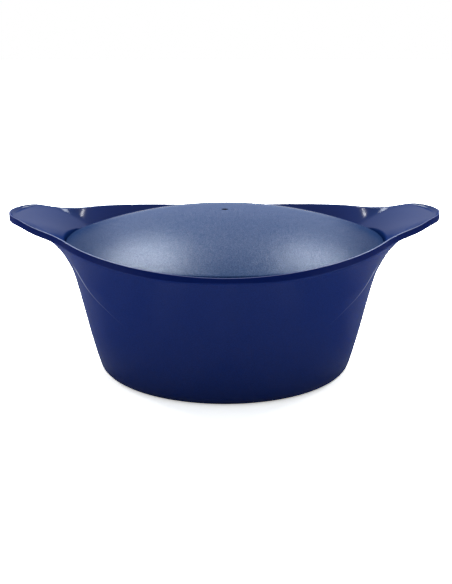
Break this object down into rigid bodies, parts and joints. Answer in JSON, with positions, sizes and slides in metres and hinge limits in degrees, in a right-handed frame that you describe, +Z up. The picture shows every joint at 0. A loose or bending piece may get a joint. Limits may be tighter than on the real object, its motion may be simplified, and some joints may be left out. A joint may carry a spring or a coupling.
{
  "type": "casserole pot",
  "caption": "Round casserole pot in coated cast aluminium, with wing handles drawn out of a rising rim and a domed lift-off lid set down inside it.",
  "frame": {"origin": "on the table, under the centre of the pot", "axes": "+X through a wing handle, +Z up out of the pot, Y from front to back"},
  "size_m": [0.324, 0.2606, 0.1213],
  "materials": {
    "coated_aluminium": "satin navy coating",
    "coated_aluminium_lid": "satin navy coating",
    "disc_steel": "brushed"
  },
  "bodies": {
    "pot": {"pot_body": "coated_aluminium", "induction_base_plate": "disc_steel"},
    "lid": {"lid": "coated_aluminium_lid"}
  },
  "joints": [
    {"name": "lid_lift", "type": "slide", "parent": "pot", "child": "lid", "axis": [0, 0, 1], "range_m": [0, 0.12]}
  ]
}
